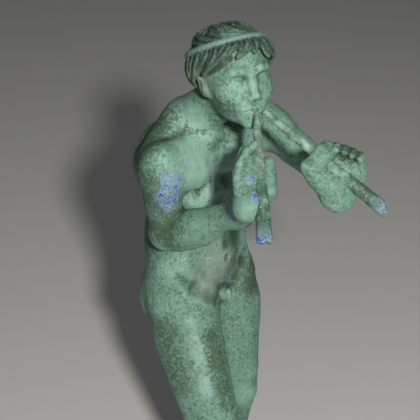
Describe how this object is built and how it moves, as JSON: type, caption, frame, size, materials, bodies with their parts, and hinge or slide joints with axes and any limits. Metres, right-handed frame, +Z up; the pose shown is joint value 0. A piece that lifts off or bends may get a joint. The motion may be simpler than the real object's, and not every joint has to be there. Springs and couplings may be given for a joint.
{
  "type": "faun statue",
  "caption": "Small cast bronze of a nude youthful faun on a low round base, knees bent, head turned to its right, playing a pair of diverging pipes.",
  "frame": {"origin": "centre of the round base's underside", "axes": "+Z up; the figure faces -Y and its left side is at +X"},
  "size_m": [0.0987, 0.1012, 0.2475],
  "materials": {
    "figure_bronze": "corroded cast bronze, green and blue patina",
    "pipe_bronze": "corroded cast bronze, green patina with blue ends",
    "base_bronze": "plain cast bronze, dark green patina"
  },
  "bodies": {
    "root": {"figure": "figure_bronze", "left_pipe": "pipe_bronze", "right_pipe": "pipe_bronze", "base": "base_bronze"}
  },
  "joints": []
}
